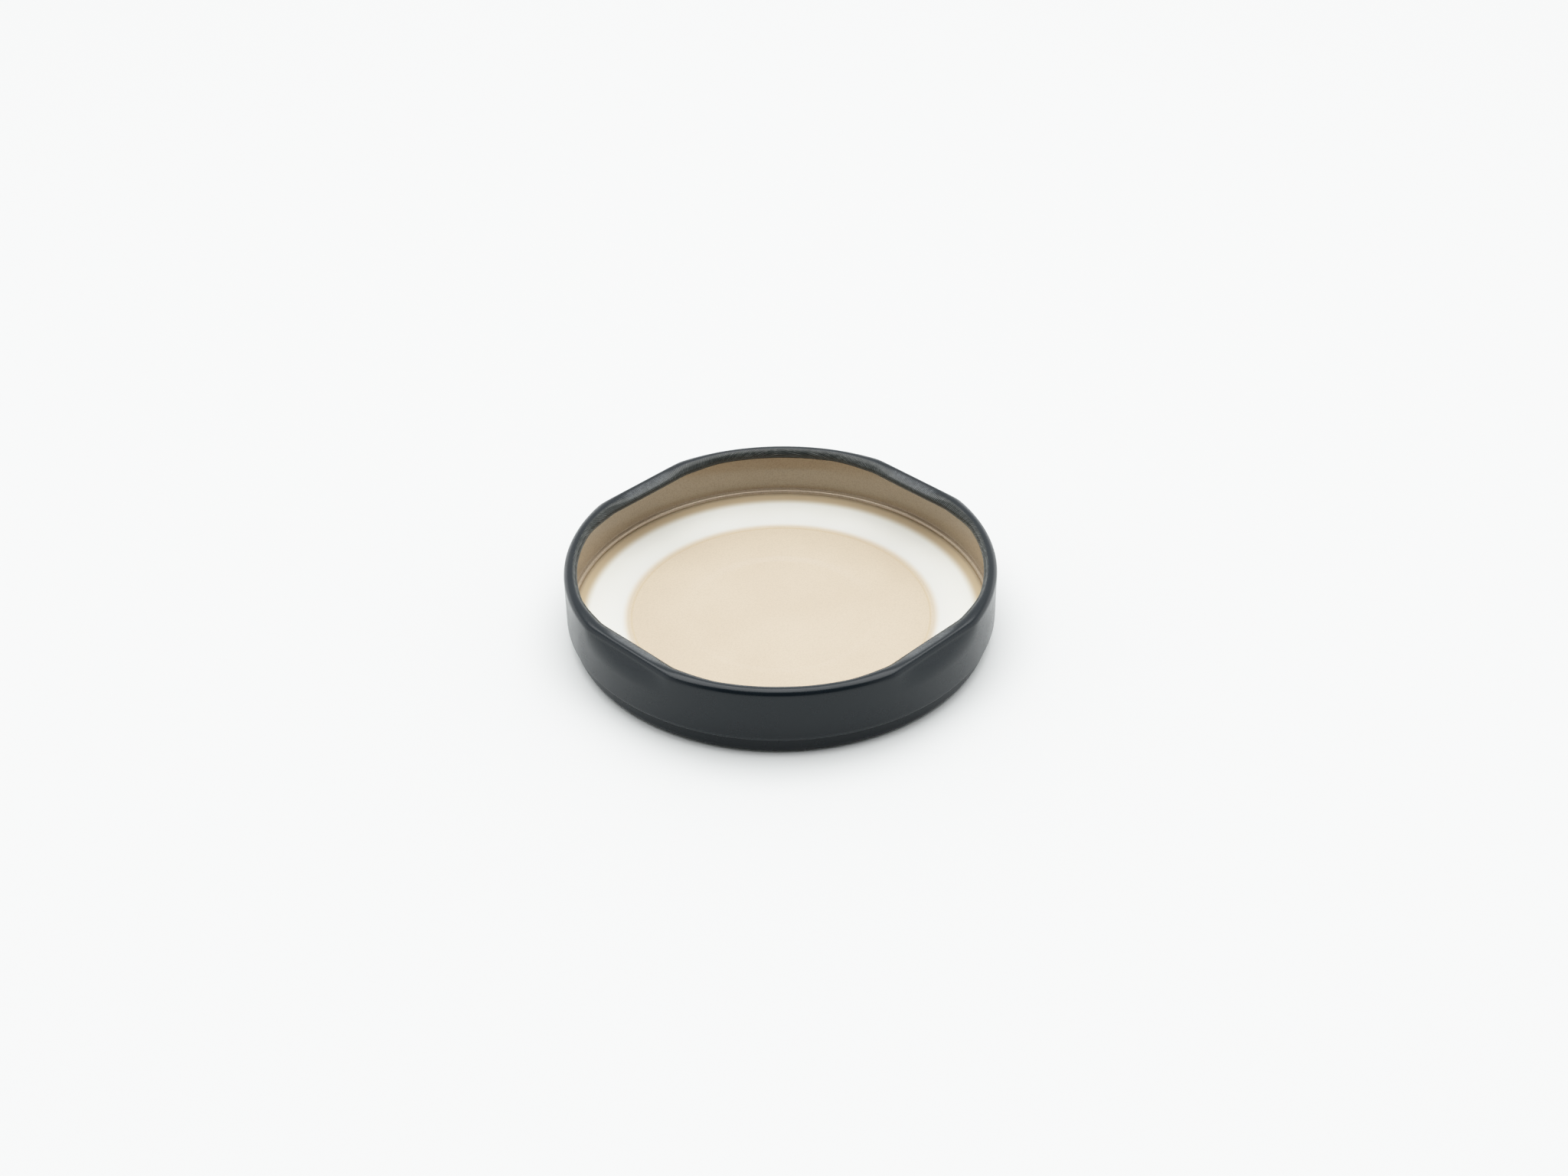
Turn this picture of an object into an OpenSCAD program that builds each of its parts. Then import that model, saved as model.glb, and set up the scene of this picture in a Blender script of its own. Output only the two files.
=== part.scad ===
// Twist-off jar lid: a drawn steel cap with a stepped skirt, a rolled rim
// pressed into lugs, and the sealing ring flowed into its channel.
// Millimetres, +Z towards the open side. The origin is the centre of the
// plane that the closed face rests on.

/* [Cap] */
// Outside diameter across the skirt and the rolled rim
cap_diameter = 56; // [50:1:66]
// Height from the resting ring to the top of the rolled rim
cap_height = 10; // [9:0.5:14]
// Thickness of the steel sheet with its coatings
sheet = 0.2; // [0.16:0.02:0.28]

/* [Skirt] */
// Height of the step above the resting ring
step_height = 2.6; // [2.3:0.1:3.2]
// How far the skirt is set in below the step
step_inset = 0.6; // [0.4:0.1:0.8]
// How much the ledge of the step rises from the lower skirt to the upper
step_rise = 0.1; // [0.05:0.05:0.3]
// Outside radius between the skirt and the resting ring
corner_radius = 1.1; // [0.8:0.1:1.4]

/* [Rolled rim] */
// Outside diameter of the rolled rim seen in section
curl_diameter = 1.7; // [1.4:0.1:2.2]
// Clearance between the tucked raw edge and the skirt
curl_clearance = 0.05; // [0.02:0.01:0.1]

/* [Lugs] */
// Number of lugs, evenly spaced
lug_count = 4; // [3, 4, 5, 6]
// Length of the straight part of each lug
lug_length = 14.5; // [10:0.5:16]
// Length over which a lug fades back into the rim at each end
lug_run_out = 7; // [4:0.5:9]
// How much wider than the rolled rim a lug is pressed
lug_reach = 0.6; // [0.2:0.05:0.8]
// How far the pressed face lies below the rolled rim, over the middle of the roll
lug_drop = 0.15; // [0.05:0.05:0.3]
// Slope of the pressed face on a lug, in degrees
lug_face_angle = 18; // [10:1:26]
// Height of skirt that leans in below a lug
lug_lean = 2.8; // [2:0.2:3.6]

/* [Panel] */
// Width of the sealing channel, from the skirt to the panel edge
channel_width = 7.25; // [6:0.25:8.5]
// Height of the panel above the resting plane
panel_rise = 1.2; // [0.8:0.1:1.5]
// Diameter of the vacuum button in the panel
button_diameter = 24.8; // [16:0.2:30]
// How far the button sits below the panel
button_drop = 0.2; // [0.1:0.05:0.5]

/* [Sealing ring] */
// Distance from the panel down to the compound at its inner edge
seal_drop = 0.1; // [0.05:0.05:0.3]
// Distance from the step down to the edge of the compound on the skirt
seal_gap = 0.3; // [0.2:0.05:0.6]

/* [Hidden] */
$fn = 180;

half = sheet / 2;
cap_r = cap_diameter / 2;
wall_r = cap_r - half;                  // middle of the sheet, upper skirt
low_r = wall_r - step_inset;            // middle of the sheet, lower skirt
panel_r = cap_r - step_inset - channel_width;
panel_z = panel_rise + half;
button_r = button_diameter / 2;
button_z = panel_z - button_drop;
slope_run = panel_rise * 0.8;           // radial run of the channel's inner side
join_z = step_height + 2.1;             // drawn body below, rolled rim above

tube_r = curl_diameter / 2;             // rolled rim, outside
roll = tube_r - half;                   // rolled rim, middle of the sheet
tube_at = [cap_r - tube_r, cap_height - tube_r];
tuck = 330;                             // angle through which the rim is rolled
roll_end = (roll - half - curl_clearance) / cos(tuck) - half;
roll_angles = concat([for (i = [0:8]) 22.5 * i],
    [for (i = [1:6]) 180 + i * (tuck - 180) / 6]);
lean_steps = 6;
lean_z = max(tube_at[1] - lug_lean, join_z + 0.4);
tongue = 0.4;                           // rim sheet let into the body below

sector = 360 / lug_count;
lug_half = asin(lug_length / 2 / cap_r);
lug_end = min(lug_half + lug_run_out / cap_r * 180 / PI, sector / 2 - 0.5);
plain_steps = ceil((sector - 2 * lug_end) / 4.2);
hair = 0.003;

function unit(v) = v / norm(v);
function ease(x) = let (k = min(max(x, 0), 1)) k * k * (3 - 2 * k);
function soft_min(a, b, s) = (a + b - sqrt((a - b) * (a - b) + s * s)) / 2;
function reversed(v) = [for (i = [len(v) - 1:-1:0]) v[i]];
// a point of a path moved sideways: + is into the cap, - is out of it
function aside(q, s) = [q[0] - s * sin(q[2]), q[1] + s * cos(q[2])];

// a rounded corner at b between a and c, as [radius, height, heading]
function corner(a, b, c, radius, n) =
    let (d = unit(b - a), e = unit(c - b),
         from = atan2(d[1], d[0]), turn = atan2(e[1], e[0]) - from,
         side = turn > 0 ? 1 : -1,
         start = b - d * radius * tan(abs(turn) / 2),
         mid = start + side * radius * [-d[1], d[0]])
    [for (i = [0:n]) let (h = from + turn * i / n)
        [mid[0] + side * radius * sin(h), mid[1] - side * radius * cos(h), h]];

// middle of the sheet from the axis out to the join, lying in the r-z plane
p_axis = [0, button_z];
p_button = [button_r - 0.5, button_z];
p_panel = [button_r + 0.5, panel_z];
p_edge = [panel_r, panel_z];
p_channel = [panel_r + slope_run, half];
p_corner = [low_r, half];
p_step = [low_r, step_height - step_rise / 2];
p_skirt = [wall_r, step_height + step_rise / 2];
p_join = [wall_r, join_z];
body_path = concat([[0, button_z, 0]],
    corner(p_axis, p_button, p_panel, 1.2, 3),
    corner(p_button, p_panel, p_edge, 1.2, 3),
    corner(p_panel, p_edge, p_channel, 0.6, 6),
    corner(p_edge, p_channel, p_corner, 0.5, 6),
    corner(p_channel, p_corner, p_step, corner_radius - half, 9),
    corner(p_corner, p_step, p_skirt, 0.15, 6),
    corner(p_step, p_skirt, p_join, step_inset / 2, 7),
    [[wall_r, join_z, 90]]);
inner_face = [for (q = body_path) aside(q, half)];
outer_face = [for (q = body_path) aside(q, -half)];

// compound: its underside is the inner face of the channel, point for point,
// and its surface climbs towards the skirt as it sets in the spinning cap
seal_z = panel_rise + sheet - seal_drop;
seal_in = [lookup(-seal_z, [for (p = inner_face)
    if (p[0] > panel_r - 0.4 && p[0] < panel_r + slope_run / 2) [-p[1], p[0]]]), seal_z];
seal_top = step_height - step_rise / 2 - seal_gap;
seal_wall = cap_r - step_inset - sheet;
seal_bed = [for (p = inner_face)
    if (p[0] > seal_in[0] + 0.01 && p[1] < seal_top - 0.01 && p[0] <= seal_wall + 0.001) p];
seal_free = [for (i = [0:11]) let (k = 1 - i / 12)
    [seal_in[0] + k * (seal_wall - seal_in[0]), seal_z + k * k * (seal_top - seal_z)]];

// straight inset of a lug at an angle from its middle
function inset(a) = abs(a) >= lug_end ? 0 :
    let (x = cap_r * (1 - cos(lug_half) / cos(a))) (x + sqrt(x * x + 0.025)) / 2;
// share of the pressed lug shape at an angle from its middle
function pressed(a) = 1 - ease((abs(a) - lug_half) / (lug_end - lug_half));
// top of the pressed face, at a distance in from the middle of the rolled rim
function face_top(u) = roll - lug_drop - tan(lug_face_angle) * u;

// middle of the rolled sheet at a roll angle, for an inset d and a share w
function rolled(t, d, w) =
    let (r = t < 180 ? roll : roll + (roll_end - roll) * (t - 180) / (tuck - 180),
         u = -r * cos(t), v = r * sin(t),
         u2 = u + lug_reach * ease((u + roll) / (2 * roll)) * (1 - v / (3 * roll)),
         v2 = soft_min(v, face_top(u2), 0.12))
    [tube_at[0] - d - u - w * (u2 - u), tube_at[1] + v + w * (v2 - v)];
function rim_path(d, w) =
    let (p = concat([[wall_r, join_z]],
        [for (i = [0:lean_steps - 1]) let (k = i / lean_steps)
            [wall_r - d * k * k, lean_z + k * (tube_at[1] - lean_z)]],
        [for (t = roll_angles) rolled(t, d, w)]))
    [for (i = [0:len(p) - 1])
        let (e = p[min(i + 1, len(p) - 1)] - p[max(i - 1, 0)])
        [p[i][0], p[i][1], i == 0 ? 90 : atan2(e[1], e[0])]];
// closed section of the rim, counted from the join up the outside
sag = hair + cap_r * (1 - cos(2.1));
function rim_section(a) =
    let (q = rim_path(inset(a), pressed(a)), last = len(q) - 1)
    concat([[cap_r - hair, join_z]],
        [for (i = [1:last]) aside(q[i], -half)],
        [for (i = [last:-2:2]) aside(q[i], half)],
        [[cap_r - sheet + sag, join_z],
         [cap_r - 0.7 * sheet, join_z], [cap_r - 0.7 * sheet, join_z - tongue],
         [cap_r - 0.3 * sheet, join_z - tongue], [cap_r - 0.3 * sheet, join_z]]);

// angles from the middle of one lug to the middle of the next
lug_angles = concat([for (k = [0, 0.17, 0.34, 0.5, 0.66, 0.8, 0.91, 1]) k * lug_half],
    [for (i = [1:6]) lug_half + i / 6 * (lug_end - lug_half)]);
sector_angles = concat(lug_angles,
    [for (i = [1:plain_steps - 1]) lug_end + i * (sector - 2 * lug_end) / plain_steps],
    [for (a = reversed(lug_angles)) if (a > 0) sector - a]);
rim_angles = [for (k = [0:lug_count - 1], a = sector_angles)
    [(k + 0.5) * sector + a, a > sector / 2 ? a - sector : a]];

module drawn_body() {
    rotate_extrude() polygon(concat(outer_face, reversed(inner_face)));
}

module rolled_rim() {
    rings = [for (a = rim_angles) [for (p = rim_section(a[1]))
        [p[0] * cos(a[0]), p[0] * sin(a[0]), p[1]]]];
    n = len(rings[0]);
    m = len(rings);
    polyhedron([for (ring = rings, p = ring) p],
        [for (i = [0:m - 1], j = [0:n - 1])
            let (i2 = (i + 1) % m, j2 = (j + 1) % n)
            each [[i * n + j, i * n + j2, i2 * n + j2],
                  [i * n + j, i2 * n + j2, i2 * n + j]]], convexity = 8);
}

module shell() {
    color([0.07, 0.09, 0.13]) union() {
        drawn_body();
        rolled_rim();
    }
}

module gasket() {
    color([0.92, 0.92, 0.89])
    rotate_extrude() polygon(concat([seal_in], seal_bed, seal_free));
}

shell();
gasket();
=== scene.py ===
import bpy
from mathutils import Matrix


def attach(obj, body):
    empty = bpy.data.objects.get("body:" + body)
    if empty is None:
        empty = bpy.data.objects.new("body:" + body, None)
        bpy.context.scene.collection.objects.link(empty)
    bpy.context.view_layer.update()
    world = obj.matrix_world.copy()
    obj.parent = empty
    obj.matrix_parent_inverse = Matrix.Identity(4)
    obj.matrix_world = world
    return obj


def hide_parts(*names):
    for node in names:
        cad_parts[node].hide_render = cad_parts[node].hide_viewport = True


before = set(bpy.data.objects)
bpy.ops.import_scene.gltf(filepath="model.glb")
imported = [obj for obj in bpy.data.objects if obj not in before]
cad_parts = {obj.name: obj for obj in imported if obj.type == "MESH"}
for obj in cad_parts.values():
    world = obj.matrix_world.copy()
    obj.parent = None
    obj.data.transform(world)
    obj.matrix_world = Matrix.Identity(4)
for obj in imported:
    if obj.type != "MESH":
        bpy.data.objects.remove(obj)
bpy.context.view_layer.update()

import math
import bpy
import numpy as np
from mathutils import Quaternion, Vector

mm = 0.001
scene = bpy.context.scene


# a node tree of either kind, filled from code
class Graph:
    def __init__(self, tree):
        self.tree = tree

    def put(self, kind, ins=None, **props):
        node = self.tree.nodes.new(kind)
        for key, value in props.items():
            setattr(node, key, value)
        for key, value in (ins or {}).items():
            self.feed(node.inputs[key], value)
        return node

    def feed(self, socket, value):
        if hasattr(value, "is_output"):
            self.tree.links.new(value, socket)
        else:
            socket.default_value = value

    def calc(self, operation, a, b=0.0, clamp=False):
        node = self.put("ShaderNodeMath", {0: a, 1: b}, operation=operation, use_clamp=clamp)
        return node.outputs[0]

    def ramp(self, x, low, high, a=0.0, b=1.0):
        ins = {"Value": x, "From Min": low, "From Max": high, "To Min": a, "To Max": b}
        return self.put("ShaderNodeMapRange", ins, interpolation_type="SMOOTHSTEP").outputs["Result"]

    # 1 from full to fade, easing to 0 at begin and end
    def band(self, x, begin, full, fade, end):
        return self.calc("MULTIPLY", self.ramp(x, begin, full), self.ramp(x, end, fade))


# a Geometry Nodes tree whose sizes are named inputs
class Shape(Graph):
    def __init__(self, name, sizes):
        super().__init__(bpy.data.node_groups.new(name, "GeometryNodeTree"))
        self.tree.is_modifier = True
        self.sizes = sizes
        sockets = self.tree.interface
        sockets.new_socket("Geometry", in_out="INPUT", socket_type="NodeSocketGeometry")
        sockets.new_socket("Geometry", in_out="OUTPUT", socket_type="NodeSocketGeometry")
        for key, value in sizes.items():
            kind = "NodeSocketInt" if isinstance(value, int) else "NodeSocketFloat"
            sockets.new_socket(key, in_out="INPUT", socket_type=kind)
        self.given = self.put("NodeGroupInput").outputs
        self.end = self.put("NodeGroupOutput")

    def mark(self, name, kind="FLOAT"):
        node = self.put("GeometryNodeInputNamedAttribute", {"Name": name}, data_type=kind)
        return next(s for s in node.outputs if s.enabled and s.name == "Attribute")

    def keep(self, geometry, name, value):
        ins = {"Geometry": geometry, "Name": name, "Value": value}
        node = self.put("GeometryNodeStoreNamedAttribute", ins, data_type="FLOAT", domain="POINT")
        return node.outputs[0]

    # carry the guide's section round the cap
    def sweepRound(self):
        size = {"Resolution": self.given["Segments"], "Radius": self.given["Cap Radius"]}
        ring = self.put("GeometryNodeCurvePrimitiveCircle", size).outputs[0]
        section = self.put("GeometryNodeMeshToCurve", {"Mesh": self.given["Geometry"]}).outputs[0]
        return self.put("GeometryNodeCurveToMesh", {"Curve": ring, "Profile Curve": section}).outputs[0]

    # end the tree: smooth faces, real geometry, and each material on its selection
    def coat(self, geometry, coats):
        smooth = self.put("GeometryNodeSetShadeSmooth", {"Geometry": geometry}).outputs[0]
        real = self.put("GeometryNodeRealizeInstances", {"Geometry": smooth}).outputs[0]
        for material, where in coats:
            ins = {"Geometry": real, "Selection": where, "Material": material}
            real = self.put("GeometryNodeSetMaterial", ins).outputs[0]
        self.feed(self.end.inputs[0], real)

    # evaluate the tree on its guide lines and keep the result as a plain mesh
    def grow(self, name, guide):
        ob = bpy.data.objects.new(name, guide)
        scene.collection.objects.link(ob)
        modifier = ob.modifiers.new("shape", "NODES")
        modifier.node_group = self.tree
        for socket in self.tree.interface.items_tree:
            if socket.in_out == "INPUT" and socket.name in self.sizes:
                modifier[socket.identifier] = self.sizes[socket.name]
        graph = bpy.context.evaluated_depsgraph_get()
        mesh = bpy.data.meshes.new_from_object(
            ob.evaluated_get(graph), preserve_all_data_layers=True, depsgraph=graph)
        ob.modifiers.remove(modifier)
        ob.data = mesh
        mesh.name = name
        return ob


# a Principled material with the few patterns that this lid needs
class Finish(Graph):
    def __init__(self, name):
        self.material = bpy.data.materials.new(name)
        self.material.use_nodes = True
        super().__init__(self.material.node_tree)
        self.tree.nodes.clear()
        out = self.put("ShaderNodeOutputMaterial")
        self.bsdf = self.put("ShaderNodeBsdfPrincipled")
        self.tree.links.new(self.bsdf.outputs[0], out.inputs[0])

    def mark(self, name):
        return self.put("ShaderNodeAttribute", attribute_name=name).outputs["Fac"]

    def place(self):
        return self.put("ShaderNodeTexCoord").outputs["Object"]

    def height(self):
        return self.put("ShaderNodeSeparateXYZ", {0: self.place()}).outputs["Z"]

    # distance from the lid's axis
    def radius(self):
        across = {0: self.place(), 1: (1, 1, 0)}
        flat = self.put("ShaderNodeVectorMath", across, operation="MULTIPLY").outputs[0]
        return self.put("ShaderNodeVectorMath", {0: flat}, operation="LENGTH").outputs["Value"]

    def noise(self, scale, detail=3.0, rough=0.5):
        ins = {"Vector": self.place(), "Scale": scale, "Detail": detail, "Roughness": rough}
        return self.put("ShaderNodeTexNoise", ins).outputs["Fac"]

    def mix(self, share, a, b):
        return self.put("ShaderNodeMix", {0: share, 6: a, 7: b}, data_type="RGBA").outputs[2]

    def bump(self, height, distance, strength):
        ins = {"Height": height, "Distance": distance, "Strength": strength}
        return self.put("ShaderNodeBump", ins).outputs["Normal"]

    def set(self, values):
        for key, value in values.items():
            self.feed(self.bsdf.inputs[key], value)


# sizes of the pressed sheet, in mm and degrees
lid = {
    "capRadius": 28.0, "height": 10.0, "sheet": 0.2,
    "stepHeight": 2.6, "stepInset": 0.6, "cornerRadius": 1.1, "joinRise": 2.1,
    "ledgeRise": 0.02, "ledgeRounding": 0.38, "skirtRounding": 0.17,  # a flatter, rounder ledge
    "channel": 7.25, "channelSlope": 0.8, "channelRounding": 0.5,
    "panelRise": 1.2, "panelRounding": 0.6,
    "buttonRadius": 12.4, "buttonDrop": 0.2, "buttonRun": 1.0, "buttonRounding": 1.2,
    "curl": 1.7, "curlClearance": 0.05, "tuck": 330.0,
    "lugs": 4, "lugLength": 14.5, "lugRunOut": 7.0, "lugReach": 0.6, "lugDrop": 0.15,
    "lean": 2.8, "leastSkirt": 0.4, "chordSoftness": 0.025,
    # the flat pressed face is shorter than its lug and runs out over a longer part of it
    "faceAngle": 18.0, "faceSoftness": 0.12, "faceFlat": 0.3, "faceRunOut": 1.25,
}

# how finely the sheet is divided; the radii divide its long flats
fineness = {
    "roundSteps": 360, "cornerStep": 6.0, "rollStep": 7.5, "leanSteps": 12,
    "buttonFlat": (0.0, 4.0, 8.0), "panelFlat": (16.5,), "channelFlat": (23.0, 25.0),
}

half = lid["sheet"] / 2
capR = lid["capRadius"]
wallR = capR - half
lowR = wallR - lid["stepInset"]
panelR = capR - lid["stepInset"] - lid["channel"]
panelZ = lid["panelRise"] + half
buttonZ = panelZ - lid["buttonDrop"]
joinZ = lid["stepHeight"] + lid["joinRise"]
tubeR = lid["curl"] / 2
roll = tubeR - half
tubeAt = np.array([capR - tubeR, lid["height"] - tubeR])
rollEnd = (roll - half - lid["curlClearance"]) / math.cos(math.radians(lid["tuck"])) - half
leanZ = max(tubeAt[1] - lid["lean"], joinZ + lid["leastSkirt"])
leanShare = np.arange(fineness["leanSteps"]) / fineness["leanSteps"]
rollAngles = np.linspace(0, lid["tuck"], round(lid["tuck"] / fineness["rollStep"]) + 1)
sector = 360.0 / lid["lugs"]
lugHalf = math.degrees(math.asin(lid["lugLength"] / 2 / capR))
lugEnd = min(lugHalf + math.degrees(lid["lugRunOut"] / capR), sector / 2 - 0.5)
faceHalf = lid["faceFlat"] * lugHalf
faceEnd = lid["faceRunOut"] * lugHalf


def ease(x):
    k = np.clip(x, 0, 1)
    return k * k * (3 - 2 * k)


def softMin(a, b, s):
    return (a + b - np.sqrt((a - b) ** 2 + s * s)) / 2


# a rounded corner at b, as radius, height and heading
def corner(a, b, c, radius):
    a, b, c = (np.array(p, float) for p in (a, b, c))
    d = (b - a) / np.linalg.norm(b - a)
    e = (c - b) / np.linalg.norm(c - b)
    start = math.atan2(d[1], d[0])
    turn = math.atan2(e[1], e[0]) - start
    side = 1 if turn > 0 else -1
    mid = b - d * radius * math.tan(abs(turn) / 2) + side * radius * np.array([-d[1], d[0]])
    n = max(3, round(abs(math.degrees(turn)) / fineness["cornerStep"]))
    heading = start + turn * np.arange(n + 1) / n
    arc = np.stack([np.sin(heading), -np.cos(heading)], -1)
    return [(*(mid + side * radius * v), h) for v, h in zip(arc, heading)]


def flat(radii, z):
    return [(r, z, 0.0) for r in radii]


# a path moved sideways: + is into the cap, - is out of it
def aside(q, s):
    return np.stack([q[:, 0] - s * np.sin(q[:, 2]), q[:, 1] + s * np.cos(q[:, 2])], -1)


# middle of the sheet from the axis out to where the rim begins
def bodyPath():
    run, rise = lid["buttonRun"] / 2, lid["ledgeRise"] / 2
    axis = (0, buttonZ)
    button = (lid["buttonRadius"] - run, buttonZ)
    panel = (lid["buttonRadius"] + run, panelZ)
    edge = (panelR, panelZ)
    channel = (panelR + lid["panelRise"] * lid["channelSlope"], half)
    low = (lowR, half)
    step = (lowR, lid["stepHeight"] - rise)
    skirt = (wallR, lid["stepHeight"] + rise)
    join = (wallR, joinZ)
    path = flat(fineness["buttonFlat"], buttonZ)
    path += corner(axis, button, panel, lid["buttonRounding"])
    path += corner(button, panel, edge, lid["buttonRounding"])
    path += flat(fineness["panelFlat"], panelZ)
    path += corner(panel, edge, channel, lid["panelRounding"])
    path += corner(edge, channel, low, lid["channelRounding"])
    path += flat(fineness["channelFlat"], half)
    path += corner(channel, low, step, lid["cornerRadius"] - half)
    path += corner(low, step, skirt, lid["ledgeRounding"])
    path += corner(step, skirt, join, lid["skirtRounding"])
    return np.array(path)


# middle of the sheet round the roll, plain (w = 0) or pressed into a lug (w = 1)
def rollPath(w, angles):
    r = roll + (rollEnd - roll) * np.clip((angles - 180) / (lid["tuck"] - 180), 0, 1)
    u, v = -r * np.cos(np.radians(angles)), r * np.sin(np.radians(angles))
    u2 = u + lid["lugReach"] * ease((u + roll) / (2 * roll)) * (1 - v / (3 * roll))
    top = roll - lid["lugDrop"] - math.tan(math.radians(lid["faceAngle"])) * u2
    v2 = softMin(v, top, lid["faceSoftness"])
    return np.stack([tubeAt[0] - u - w * (u2 - u), tubeAt[1] + v + w * (v2 - v)], -1)


def rimPath(w):
    lean = np.stack([np.full(len(leanShare), wallR), leanZ + leanShare * (tubeAt[1] - leanZ)], -1)
    p = np.vstack([[[wallR, joinZ]], lean, rollPath(w, rollAngles)])
    e = np.gradient(p, axis=0)
    heading = np.arctan2(e[:, 1], e[:, 0])
    heading[0] = math.pi / 2
    return np.column_stack([p, np.unwrap(heading)])


# at degrees from the middle of a lug: how far it stands in from the round
def lugInset(a):
    x = capR * (1 - math.cos(math.radians(lugHalf)) / np.cos(np.radians(a)))
    return (x + np.sqrt(x * x + lid["chordSoftness"])) / 2


# and its share of the pressed shape, in and down
def lugShare(a):
    return 1 - ease((np.abs(a) - lugHalf) / (lugEnd - lugHalf))


def faceShare(a):
    return 1 - ease((np.abs(a) - faceHalf) / (faceEnd - faceHalf))


def linesMesh(name, points, edges, marks):
    lines = bpy.data.meshes.new(name)
    lines.from_pydata([tuple(p) for p in points], edges, [])
    for key, values in marks.items():
        values = np.asarray(values, np.float32)
        if values.ndim == 2:
            lines.attributes.new(key, "FLOAT_VECTOR", "POINT").data.foreach_set("vector", values.ravel())
        else:
            lines.attributes.new(key, "FLOAT", "POINT").data.foreach_set("value", values)
    return lines


# one section of the sheet: out along its underside, round the roll, back along its inside;
# each row is a point, what a lug moves it by, its share of the lean, its roll angle, and its side
def shellSection():
    body, plain, bent = bodyPath(), rimPath(0), rimPath(1)
    share = np.concatenate([[0], leanShare ** 2, np.ones(len(rollAngles))])
    angle = np.concatenate([np.full(1 + len(leanShare), -90.0), rollAngles])
    rows = [(q, (0, 0), 0, -90, 0) for q in aside(body, -half)]
    for p, b, s, t in zip(aside(plain, -half), aside(bent, -half), share, angle):
        rows.append((p, b - p, s, t, 0))
    # the inside needs fewer rows: every second up the wall, every third round the roll
    last, wallRows = len(plain) - 1, 1 + len(leanShare)
    inside = [i for i in range(last) if (i % 2 == 0 if i < wallRows else i % 3 == 1)] + [last]
    p, b = aside(plain, half), aside(bent, half)
    rows += [(p[i], b[i] - p[i], share[i], -90, 1) for i in inside[::-1]]
    rows += [(q, (0, 0), 0, -90, 1) for q in aside(body, half)[::-1]]
    return rows


def buildShell(enamel, lacquer, steel):
    at, press, share, angle, inside = zip(*shellSection())
    points = [((p[0] - capR) * mm, -p[1] * mm, 0) for p in at]
    marks = {
        "pressOut": [b[0] * mm for b in press], "pressUp": [b[1] * mm for b in press],
        "leanShare": share, "rollAngle": angle, "inside": inside,
    }
    guide = linesMesh("shell_section", points, [(i, i + 1) for i in range(len(points) - 1)], marks)
    g = Shape("rolled shell with lugs", {
        "Segments": fineness["roundSteps"], "Cap Radius": capR * mm, "Lug Count": lid["lugs"],
        "Lug Half Angle": math.radians(lugHalf), "Lug End Angle": math.radians(lugEnd),
        "Face Half Angle": math.radians(faceHalf), "Face End Angle": math.radians(faceEnd),
        "Chord Softness": lid["chordSoftness"] * mm * mm,
    })
    swept = g.sweepRound()
    # angle from the middle of the nearest lug
    at = g.put("GeometryNodeInputPosition").outputs[0]
    at = g.put("ShaderNodeSeparateXYZ", {0: at}).outputs
    azimuth = g.calc("ARCTAN2", at["Y"], at["X"])
    pitch = g.calc("DIVIDE", 2 * math.pi, g.given["Lug Count"])
    a = g.calc("SUBTRACT", g.calc("FLOORED_MODULO", azimuth, pitch), g.calc("MULTIPLY", pitch, 0.5))
    a = g.calc("ABSOLUTE", a)
    share = g.ramp(a, g.given["Lug Half Angle"], g.given["Lug End Angle"], 1.0, 0.0)
    face = g.ramp(a, g.given["Face Half Angle"], g.given["Face End Angle"], 1.0, 0.0)
    # the straight chord of a lug, eased into the round
    chord = g.calc("DIVIDE", g.calc("COSINE", g.given["Lug Half Angle"]), g.calc("COSINE", a))
    x = g.calc("MULTIPLY", g.given["Cap Radius"], g.calc("SUBTRACT", 1.0, chord))
    x2 = g.calc("ADD", g.calc("MULTIPLY", x, x), g.given["Chord Softness"])
    inset = g.calc("MULTIPLY", g.calc("ADD", x, g.calc("SQRT", x2)), 0.5)
    out = g.calc("SUBTRACT", g.calc("MULTIPLY", share, g.mark("pressOut")),
                 g.calc("MULTIPLY", inset, g.mark("leanShare")))
    offset = g.put("ShaderNodeCombineXYZ", {
        "X": g.calc("MULTIPLY", out, g.calc("COSINE", azimuth)),
        "Y": g.calc("MULTIPLY", out, g.calc("SINE", azimuth)),
        "Z": g.calc("MULTIPLY", face, g.mark("pressUp"))}).outputs[0]
    swept = g.keep(swept, "press", face)
    moved = g.put("GeometryNodeSetPosition", {"Geometry": swept, "Offset": offset}).outputs[0]
    closed = g.put("GeometryNodeMergeByDistance", {"Geometry": moved, "Distance": 1e-6}).outputs[0]
    outward = g.put("GeometryNodeFlipFaces", {"Mesh": closed}).outputs[0]
    # the outside is enamelled, the inside lacquered, and the cut edge between them bare
    side = g.mark("inside")
    past = [g.put("FunctionNodeCompare", {0: side, 1: level}, operation="GREATER_THAN").outputs[0]
            for level in (0.25, 0.75)]
    g.coat(outward, [(enamel, True), (steel, past[0]), (lacquer, past[1])])
    return g.grow("lid_shell", guide)


# marks that the rolling tool leaves: evenly spaced round the rim, nearly level midway
# between lugs, and turning to run straight down the face on them
tooling = {
    "spacing": 0.28, "closest": 0.17, "width": 0.095, "height": 0.03,  # mm
    "begin": 112.0, "beginOnLug": 84.0, "end": 186.0,                  # roll angles, degrees
    "skew": 18.0, "mostLevel": 7.0, "margin": 0.4, "archStart": 0.01,  # degrees
    "bold": 1.3, "finerWhenSteep": 0.55, "weakest": 0.35, "endSize": 0.1,
    "points": 9, "arches": (0.08, 0.24, 0.4, 0.56, 0.72), "seed": 7,
}
faceAngles = np.linspace(60, 200, 141)  # roll angles where the outer face is sampled


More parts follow.
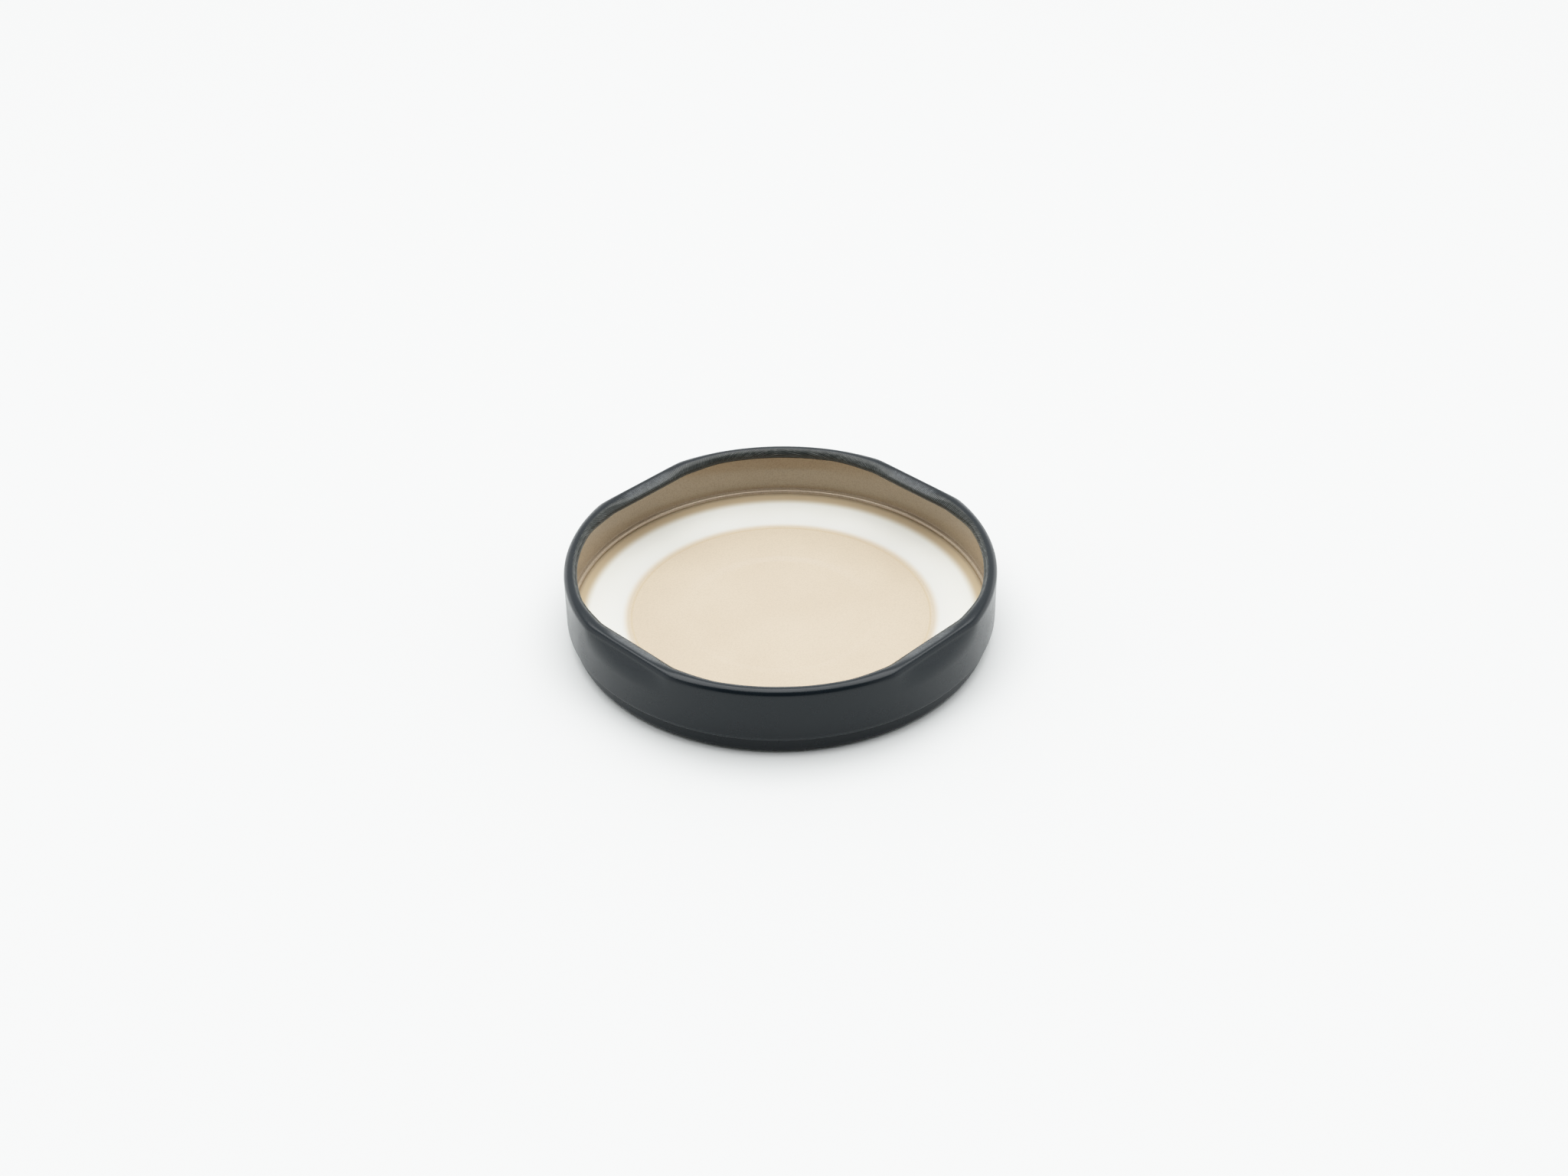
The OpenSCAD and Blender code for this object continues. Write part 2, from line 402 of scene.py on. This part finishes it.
# a mark's angle from level in radians, at degrees past the middle of a gap
def slantAt(x):
    turn = np.clip(x / sector, 0, 1) * 180
    slant = turn + tooling["skew"] * np.sqrt(np.maximum(np.sin(np.radians(turn)), 0))
    level = tooling["mostLevel"]
    return math.radians(min(max(slant, level), 180 - level))


# points of the roll's outer face, plain and pressed
def facePoints(angles):
    rows = []
    for w in (0, 1):
        p = rollPath(w, faceAngles)
        e = np.gradient(p, axis=0)
        q = aside(np.column_stack([p, np.arctan2(e[:, 1], e[:, 0])]), -half)
        rows.append(np.stack([np.interp(angles, faceAngles, q[:, k]) for k in (0, 1)], -1))
    return rows


# points of the finished rim in mm, at azimuths and roll angles in degrees
def onRim(azimuth, angles):
    a = np.abs(azimuth % sector - sector / 2)
    plain, bent = facePoints(angles)
    r = plain[:, 0] + lugShare(a) * (bent[:, 0] - plain[:, 0]) - lugInset(a)
    z = plain[:, 1] + faceShare(a) * (bent[:, 1] - plain[:, 1])
    turn = np.radians(azimuth)
    return np.stack([r * np.cos(turn), r * np.sin(turn), z], -1)


def faceNormals(azimuth, angles):
    across = onRim(azimuth + 0.05, angles) - onRim(azimuth - 0.05, angles)
    down = onRim(azimuth, angles + 0.5) - onRim(azimuth, angles - 0.5)
    n = np.cross(down, across)
    n /= np.linalg.norm(n, axis=1)[:, None]
    return n


# azimuths and depths of one mark, from a depth in the marked band down to its foot
def walkLine(start, top):
    steps = tooling["points"] - 1
    stretch = math.radians(tooling["end"] - tooling["begin"]) * tubeR * (1 - top) / steps
    x, line = start, []
    for i in range(steps + 1):
        line.append((x, top + (1 - top) * i / steps))
        x += math.degrees(stretch / math.tan(slantAt(x % sector)) / wallR)
    return line


def markLines():
    lines = []
    for k in range(lid["lugs"]):
        start = tooling["margin"]
        while start < sector - tooling["margin"]:
            lines.append([(k * sector + x, s) for x, s in walkLine(start, 0)])
            apart = max(tooling["spacing"], tooling["closest"] / math.sin(slantAt(start)))
            start += math.degrees(apart / (capR - tubeR))
        # a few marks arch over the middle of the gap
        for top in tooling["arches"]:
            right = walkLine(tooling["archStart"], top)
            left = [(x - sector, s) for x, s in walkLine(sector - tooling["archStart"], top)]
            lines.append([(k * sector + x, s) for x, s in left[:0:-1] + right])
    return lines


# sizes along a mark: bold where it lies level, thin at both ends
def markSizes(line):
    n = len(line)
    full = tooling["bold"] - tooling["finerWhenSteep"] * math.sin(slantAt(line[n // 2][0] % sector))
    end = tooling["endSize"]
    return [full * (end + (1 - end) * math.sin(math.pi * (m + 0.35) / (n - 0.3)) ** 0.5)
            for m in range(n)]


def buildTooling(enamel):
    lines = markLines()
    azimuth = np.array([x for line in lines for x, s in line])
    depth = np.array([s for line in lines for x, s in line])
    onLug = faceShare(azimuth % sector - sector / 2)
    begin = tooling["begin"] + (tooling["beginOnLug"] - tooling["begin"]) * onLug
    angles = begin + depth * (tooling["end"] - begin)
    edges, taper, number = [], [], []
    for j, line in enumerate(lines):
        first = len(number)
        edges += [(first + m, first + m + 1) for m in range(len(line) - 1)]
        taper += markSizes(line)
        number += [j] * len(line)
    marks = {"faceNormal": faceNormals(azimuth, angles), "taper": taper, "number": number}
    guide = linesMesh("tooling_paths", onRim(azimuth, angles) * mm, edges, marks)
    g = Shape("marks along the rolled rim", {
        "Mark Width": tooling["width"] * mm, "Mark Height": tooling["height"] * mm,
        "Weakest": tooling["weakest"], "Seed": tooling["seed"],
    })
    path = g.put("GeometryNodeMeshToCurve", {"Mesh": g.given["Geometry"]}).outputs[0]
    path = g.put("GeometryNodeSetCurveNormal",
                 {"Curve": path, "Normal": g.mark("faceNormal", "FLOAT_VECTOR")}, mode="FREE").outputs[0]
    profile = g.put("GeometryNodeCurvePrimitiveQuadrilateral", {
        "Width": g.calc("MULTIPLY", g.given["Mark Height"], 2.0),
        "Bottom Height": g.calc("MULTIPLY", g.given["Mark Width"], 0.5),
        "Top Height": g.calc("MULTIPLY", g.given["Mark Width"], 0.5)}, mode="KITE").outputs[0]
    ins = {2: g.given["Weakest"], 3: 1.0, "ID": g.mark("number"), "Seed": g.given["Seed"]}
    luck = g.put("FunctionNodeRandomValue", ins, data_type="FLOAT").outputs[1]
    size = g.calc("MULTIPLY", g.mark("taper"), luck)
    ridge = g.put("GeometryNodeCurveToMesh", {
        "Curve": path, "Profile Curve": profile, "Scale": size, "Fill Caps": True}).outputs[0]
    g.coat(ridge, [(enamel, True)])
    return g.grow("rim_tooling_marks", guide)


# compound flowed into the channel, in mm; it climbs towards the skirt as it sets in the
# spinning cap, and its inner edge dips just under the lacquer, so no crease shows
sealing = {
    "drop": 0.03, "gap": 0.3, "lip": (0.02, 0), "dip": (0.06, 0.03),
    "surfaceSteps": 24, "roundSteps": 288,
}


def sealSection():
    inner = aside(bodyPath(), half)
    z = lid["panelRise"] + lid["sheet"] - sealing["drop"]
    top = lid["stepHeight"] - lid["ledgeRise"] / 2 - sealing["gap"]
    wall = capR - lid["stepInset"] - lid["sheet"]
    # where the channel's inner side falls to the compound's level
    slope = inner[(inner[:, 0] > panelR - 1) & (inner[:, 0] < panelR + 2)]
    start = np.array([np.interp(-z, -slope[:, 1], slope[:, 0]), z])
    bed = [p for p in inner if start[0] + 0.01 < p[0] <= wall + 0.001 and p[1] < top - 0.01]
    k = 1 - np.arange(sealing["surfaceSteps"]) / sealing["surfaceSteps"]
    surface = np.stack([start[0] + k * (wall - start[0]), z + (top - z) * k ** 2], -1)
    return np.vstack([[start - sealing["dip"]], bed, surface, [start + sealing["lip"]]]), wall


def buildSealingRing(compound):
    section, wall = sealSection()
    n = len(section)
    points = [((r - capR) * mm, -z * mm, 0) for r, z in section]
    marks = {"wallGap": wall - section[:, 0]}  # mm from the wall, for the feathered edges
    guide = linesMesh("seal_section", points, [(i, (i + 1) % n) for i in range(n)], marks)
    g = Shape("compound swept round the channel", {
        "Segments": sealing["roundSteps"], "Cap Radius": capR * mm})
    outward = g.put("GeometryNodeFlipFaces", {"Mesh": g.sweepRound()}).outputs[0]
    g.coat(outward, [(compound, True)])
    return g.grow("sealing_ring", guide)


# bands are roll angles in degrees, and heights in metres along the edge of the step
enamelLook = {
    "body": (0.006, 0.0105, 0.014, 1), "innerRoll": (0.024, 0.028, 0.026, 1),
    "stepHighlight": (0.016, 0.021, 0.024, 1), "worn": (0.052, 0.06, 0.066, 1),
    "innerRollFrom": (104.0, 122.0), "wornBand": (70.0, 100.0, 130.0, 165.0),
    "stepHighlightBand": (0.0024, 0.0027, 0.0028, 0.0031),
    "dullest": 0.3, "glossiest": 0.22, "ior": 1.41, "peelHeight": 0.000012,
}


def blueBlackEnamel():
    look = enamelLook
    f = Finish("blue_black_enamel")
    angle = f.mark("rollAngle")
    # past these roll angles, on the inner side of the roll, the enamel is a little lighter and greyer
    base = f.mix(f.ramp(angle, *look["innerRollFrom"]), look["body"], look["innerRoll"])
    # painted highlight: a band along the edge of the step is painted lighter
    base = f.mix(f.band(f.height(), *look["stepHighlightBand"]), base, look["stepHighlight"])
    # the pressed faces are worn in patches
    face = f.calc("MULTIPLY", f.ramp(f.mark("press"), 0.6, 1.0), f.band(angle, *look["wornBand"]))
    worn = f.calc("MULTIPLY", face, f.ramp(f.noise(2200.0, 4.0), 0.35, 0.7, 0.25, 1.0))
    f.set({
        "Base Color": f.mix(worn, base, look["worn"]), "IOR": look["ior"],
        "Roughness": f.ramp(f.noise(260.0), 0.2, 0.8, look["glossiest"], look["dullest"]),
        "Normal": f.bump(f.noise(1500.0, 2.0), look["peelHeight"], 0.35),
    })
    return f.material


scuffLook = {
    "dark": (0.045, 0.052, 0.051, 1), "pale": (0.12, 0.13, 0.127, 1), "roughness": 0.28, "ior": 1.41,
}


def scuffedEnamel():
    f = Finish("scuffed_enamel")
    rub = f.ramp(f.noise(1200.0, 2.0), 0.35, 0.65)
    f.set({
        "Base Color": f.mix(rub, scuffLook["dark"], scuffLook["pale"]),
        "Roughness": scuffLook["roughness"], "IOR": scuffLook["ior"],
    })
    return f.material


# bands are radii and heights in metres
lacquerLook = {
    "panel": (0.53, 0.43, 0.325, 1), "panelCloud": (0.555, 0.455, 0.345, 1),
    # the wall colour is darker than the panel's: painted shade
    "wall": (0.42, 0.346, 0.256, 1), "filmAndLight": (0.67, 0.67, 0.625, 1),
    "fineRing": (0.512, 0.405, 0.285, 1), "speck": (0.22, 0.18, 0.14, 1),
    "shadedWallFrom": (0.002, 0.0032), "drawnFrom": (0.0215, 0.0240),
    "filmAndLightBand": (0.0198, 0.0208, 0.0215, 0.0220), "ringBand": (0.01945, 0.01962, 0.01965, 0.01985),
    "panelSpecks": 0.14, "wallSpecks": 0.3, "panelRoughness": 0.34, "wallRoughness": (0.06, 0.2),
    "wallShine": 0.18, "ior": 1.36, "grainHeight": 0.000006,
}


def beigeLacquer():
    look = lacquerLook
    f = Finish("beige_lacquer")
    radius = f.radius()
    base = f.mix(f.ramp(f.noise(90.0), 0.3, 0.7), look["panel"], look["panelCloud"])
    # painted shade: up the wall the lacquer is painted darker and deeper in colour, as the wall gets
    # less light than the panel
    base = f.mix(f.ramp(f.height(), *look["shadedWallFrom"]), base, look["wall"])
    # a thin film of compound creeps over the rounded edge of the panel; its pale colour also holds
    # painted light that offsets the shade on the edge's slope
    base = f.mix(f.band(radius, *look["filmAndLightBand"]), base, look["filmAndLight"])
    # and the lacquer is a little deeper in a fine ring beside it
    base = f.mix(f.band(radius, *look["ringBand"]), base, look["fineRing"])
    # the wall keeps the shine of drawn tin through its gold lacquer; the panel is dull
    drawn = f.ramp(radius, *look["drawnFrom"])
    specks = f.ramp(drawn, 0.0, 1.0, look["panelSpecks"], look["wallSpecks"])
    specks = f.calc("MULTIPLY", f.ramp(f.noise(5200.0, 2.0), 0.4, 0.7), specks)
    patchy = f.ramp(f.noise(150.0, 2.0), 0.35, 0.65, *look["wallRoughness"])
    f.set({
        "Base Color": f.mix(specks, base, look["speck"]), "IOR": look["ior"],
        "Metallic": f.calc("MULTIPLY", drawn, look["wallShine"]),
        "Roughness": f.ramp(drawn, 0.0, 1.0, look["panelRoughness"], patchy),
        "Normal": f.bump(f.noise(2600.0, 4.0, 0.6), look["grainHeight"], 0.3),
    })
    return f.material


def cutSteel():
    f = Finish("cut_steel_edge")
    f.set({
        "Base Color": (0.45, 0.45, 0.44, 1), "Metallic": 1.0,
        "Roughness": f.ramp(f.noise(1800.0), 0.2, 0.8, 0.35, 0.55),
    })
    return f.material


# bands are mm from the wall; the compound is thin and stained there, with painted shade against the
# wall, and it is painted greyer towards the panel as painted shade
compoundLook = {
    "nearWall": (0.885, 0.885, 0.815, 1), "shadedNearPanel": (0.665, 0.665, 0.62, 1),
    "nearWallCloud": (0.90, 0.90, 0.835, 1), "shadedNearPanelCloud": (0.68, 0.68, 0.637, 1),
    "stainAndShadeAtWall": (0.47, 0.38, 0.265, 1), "stainAndShade": (0.575, 0.462, 0.315, 1),
    "panelEdge": (0.53, 0.425, 0.31, 1),
    "stainAndShadeFrom": (0.25, 0.6), "thinTo": (0.95, 2.25), "shadeFrom": 2.2, "shadeOver": 4.2,
    "edgeFrom": (6.1, 7.3), "roughness": 0.42, "ior": 1.45, "rippleHeight": 0.00001,
    "glowDepth": (0.001, 0.0009, 0.0008), "glow": 0.15, "glowScale": 0.5,
}


def sealingCompound():
    look = compoundLook
    f = Finish("sealing_compound")
    gap = f.mark("wallGap")
    # painted shade: the compound is painted greyer towards the panel, where more light falls
    across = f.calc("DIVIDE", f.calc("SUBTRACT", gap, look["shadeFrom"]), look["shadeOver"], True)
    plain = f.mix(across, look["nearWall"], look["shadedNearPanel"])
    clouded = f.mix(across, look["nearWallCloud"], look["shadedNearPanelCloud"])
    white = f.mix(f.ramp(f.noise(120.0, 2.0), 0.3, 0.7), plain, clouded)
    white = f.mix(f.ramp(gap, *look["edgeFrom"]), white, look["panelEdge"])
    # a thin film shows the lacquer under it, and it is painted darker against the wall as painted shade
    # in the corner
    stainAndShade = f.mix(f.ramp(gap, *look["stainAndShadeFrom"]), look["stainAndShadeAtWall"], look["stainAndShade"])
    f.set({
        "Base Color": f.mix(f.ramp(gap, *look["thinTo"], 1.0, 0.0), white, stainAndShade),
        "Roughness": look["roughness"], "IOR": look["ior"],
        "Normal": f.bump(f.noise(900.0), look["rippleHeight"], 0.4),
        "Subsurface Weight": look["glow"], "Subsurface Radius": look["glowDepth"],
        "Subsurface Scale": look["glowScale"],
    })
    return f.material


enamel, lacquer, steel = blueBlackEnamel(), beigeLacquer(), cutSteel()
shell = buildShell(enamel, lacquer, steel)
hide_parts("shell")
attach(shell, "root")
print("stage: shell,", len(shell.data.polygons), "faces")

marksPiece = buildTooling(scuffedEnamel())
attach(marksPiece, "root")
print("stage: tooling marks,", len(marksPiece.data.polygons), "faces")

ring = buildSealingRing(sealingCompound())
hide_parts("gasket")
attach(ring, "root")
print("stage: sealing ring,", len(ring.data.polygons), "faces")


floor = {"reach": 12.0, "color": (0.79, 0.81, 0.805, 1), "roughness": 0.6}  # metres each way


def buildFloor():
    sheet = bpy.data.meshes.new("floor")
    s = floor["reach"]
    sheet.from_pydata([(-s, -s, 0), (s, -s, 0), (s, s, 0), (-s, s, 0)], [], [(0, 1, 2, 3)])
    ob = bpy.data.objects.new("floor", sheet)
    scene.collection.objects.link(ob)
    f = Finish("pale_floor")
    f.set({"Base Color": floor["color"], "Roughness": floor["roughness"]})
    sheet.materials.append(f.material)


# an overhead softbox a little behind the lid, in a room that is dark on the camera's side;
# sizes in metres, and the rest as strengths and as the directions where they change
studio = {
    "radiance": 2.4, "height": 0.75, "width": 1.15, "nearSide": -0.36, "farSide": 0.54,
    "frontSky": 0.05, "backSky": 0.74, "frontToBack": (-0.35, 0.6),
    "lowSky": 1.9, "lowToHigh": (0.15, 0.45),
    "sideWalls": 1.1, "toSides": (0.5, 0.95), "skyTint": (0.985, 0.993, 0.995, 1),
}


def hangSoftbox():
    depth = studio["farSide"] - studio["nearSide"]
    data = bpy.data.lights.new("overhead", "AREA")
    data.shape = "RECTANGLE"
    data.size, data.size_y = studio["width"], depth
    data.energy = studio["radiance"] * math.pi * studio["width"] * depth
    ob = bpy.data.objects.new("overhead", data)
    ob.location = (0, (studio["farSide"] + studio["nearSide"]) / 2, studio["height"])
    scene.collection.objects.link(ob)


def paintRoom():
    world = bpy.data.worlds.new("studio")
    scene.world = world
    world.use_nodes = True
    g = Graph(world.node_tree)
    way = g.put("ShaderNodeTexCoord").outputs["Generated"]
    toward = g.put("ShaderNodeSeparateXYZ", {0: way}).outputs
    sky = g.ramp(toward["Y"], *studio["frontToBack"], studio["frontSky"], studio["backSky"])
    sky = g.calc("MULTIPLY", sky, g.ramp(toward["Z"], *studio["lowToHigh"], studio["lowSky"], 1.0))
    # pale walls to the left and right
    sides = g.ramp(g.calc("ABSOLUTE", toward["X"]), *studio["toSides"], 0.0, studio["sideWalls"])
    sky = g.calc("MAXIMUM", sky, sides)
    # the room past the floor's edge is pale wherever it is seen directly
    direct = g.put("ShaderNodeLightPath").outputs["Is Camera Ray"]
    back = world.node_tree.nodes["Background"]
    g.feed(back.inputs["Strength"], g.ramp(direct, 0.0, 1.0, sky, studio["backSky"]))
    g.feed(back.inputs["Color"], studio["skyTint"])


# a soft shoulder keeps the pale floor just under white, and a slight toe deepens the enamel
tone = {"white": 3.0, "gain": 2.66, "toe": 1.25, "steps": 14}


def gradePicture():
    picture = scene.view_settings
    picture.view_transform = "Standard"
    picture.look = "None"
    picture.use_curve_mapping = True
    curves = picture.curve_mapping
    curves.white_level = (tone["white"],) * 3
    for i in range(1, tone["steps"]):
        x = (i / tone["steps"]) ** 2
        y = 1 - math.exp(-tone["gain"] * (x * tone["white"]) ** tone["toe"])
        curves.curves[3].points.new(x, y)
    curves.update()


view = {
    "distance": 280.0, "focalLength": 49.70, "sensor": 36.0,                  # mm
    "elevation": 34.86, "aimRight": 0.0876, "aimDown": 0.787, "roll": -0.7,   # degrees
}


def placeCamera():
    data = bpy.data.cameras.new("camera")
    data.sensor_width = view["sensor"]
    data.lens = view["focalLength"]
    data.clip_start = 0.01
    ob = bpy.data.objects.new("camera", data)
    e = math.radians(view["elevation"])
    look = Vector((0, math.cos(e), -math.sin(e)))
    right = Vector((1, 0, 0))
    up = right.cross(look)
    aim = look + right * math.tan(math.radians(view["aimRight"]))
    aim -= up * math.tan(math.radians(view["aimDown"]))
    ob.location = Vector((0, 0, lid["height"] * mm)) - look * view["distance"] * mm
    turn = aim.to_track_quat("-Z", "Y") @ Quaternion((0, 0, 1), math.radians(view["roll"]))
    ob.rotation_euler = turn.to_euler()
    scene.collection.objects.link(ob)
    scene.camera = ob


buildFloor()
hangSoftbox()
paintRoom()
gradePicture()
placeCamera()
print("stage: floor, light and camera")
